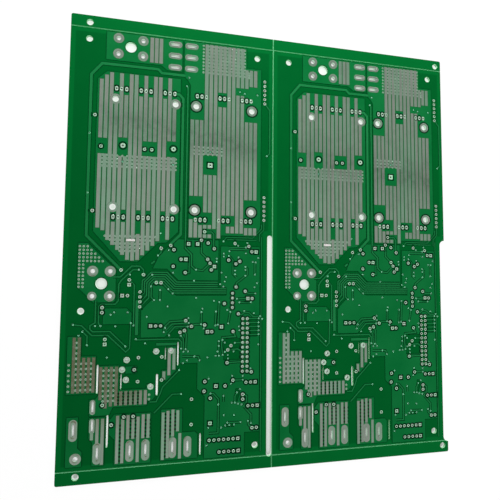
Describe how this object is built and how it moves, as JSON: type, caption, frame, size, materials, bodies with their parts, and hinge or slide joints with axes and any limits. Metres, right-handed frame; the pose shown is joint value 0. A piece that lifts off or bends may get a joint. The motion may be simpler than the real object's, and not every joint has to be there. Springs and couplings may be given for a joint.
{
  "type": "bare circuit board panel",
  "caption": "Flat green production panel of twin bare power circuit boards with tinned bus stripes, plated holes, milled slots and break-off rails.",
  "frame": {"origin": "centre of the panel's outline, on its underside", "axes": "+Z out of the front face, +Y along the boards' height towards the rail above the mains input, +X to the right"},
  "size_m": [0.217, 0.238, 0.0016],
  "materials": {
    "laminate": "satin green solder mask on glass-fibre laminate",
    "masked_copper": "green solder mask over copper",
    "tin": "levelled solder, satin"
  },
  "bodies": {
    "root": {"laminate_panel": "laminate", "left_back_plane": "masked_copper", "right_back_plane": "masked_copper", "left_copper_pours": "masked_copper", "right_copper_pours": "masked_copper", "left_ground_pour": "masked_copper", "right_ground_pour": "masked_copper", "left_tracks": "masked_copper", "right_tracks": "masked_copper", "left_input_stripes": "tin", "right_input_stripes": "tin", "left_output_stripes": "tin", "right_output_stripes": "tin", "left_lower_stripes": "tin", "right_lower_stripes": "tin", "left_terminal_rings": "tin", "right_terminal_rings": "tin", "left_fuse_slots": "tin", "right_fuse_slots": "tin", "left_blade_slots": "tin", "right_blade_slots": "tin", "left_heatsink_pads": "tin", "right_heatsink_pads": "tin", "left_transistor_pads": "tin", "right_transistor_pads": "tin", "left_power_pads": "tin", "right_power_pads": "tin", "left_header_pads": "tin", "right_header_pads": "tin", "left_lead_pads": "tin", "right_lead_pads": "tin", "left_signal_vias": "tin", "right_signal_vias": "tin", "left_stitch_vias": "tin", "right_stitch_vias": "tin"}
  },
  "joints": []
}
